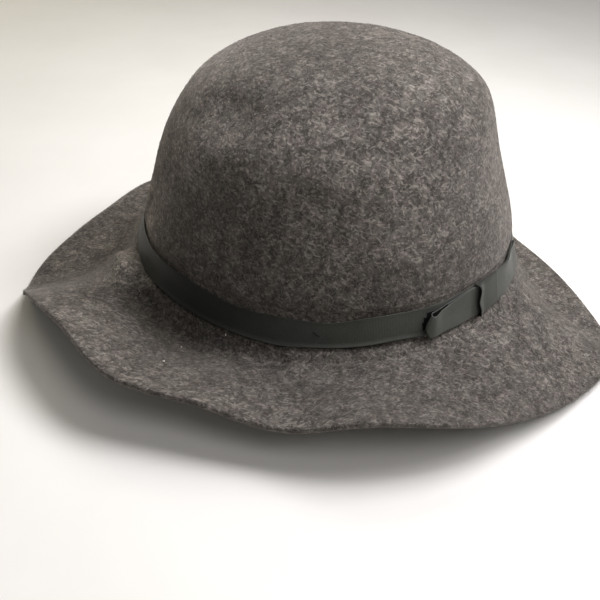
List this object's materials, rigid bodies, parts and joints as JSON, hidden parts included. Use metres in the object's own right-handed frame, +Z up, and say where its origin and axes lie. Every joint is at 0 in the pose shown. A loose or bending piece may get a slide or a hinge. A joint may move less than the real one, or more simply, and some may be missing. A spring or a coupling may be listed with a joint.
{
  "type": "wide-brim hat",
  "caption": "Charcoal wool felt hat with a soft wavy brim, a round crown, a dark grosgrain ribbon band and a small flat bow towards the back of the wearer's left side.",
  "frame": {"origin": "middle of the hat's box seen from above, on the floor that the brim rests on", "axes": "+Z up through the crown, +X towards the wearer's left, +Y towards the back of the hat, so the front faces -Y"},
  "size_m": [0.2768, 0.3188, 0.1389],
  "materials": {
    "felt": "matte heathered wool felt with light fibres",
    "ribbon": "matte grosgrain with fine cross ribs"
  },
  "bodies": {
    "root": {"felt_body": "felt", "ribbon_band": "ribbon", "bow_loops": "ribbon", "bow_knot": "ribbon"}
  },
  "joints": []
}
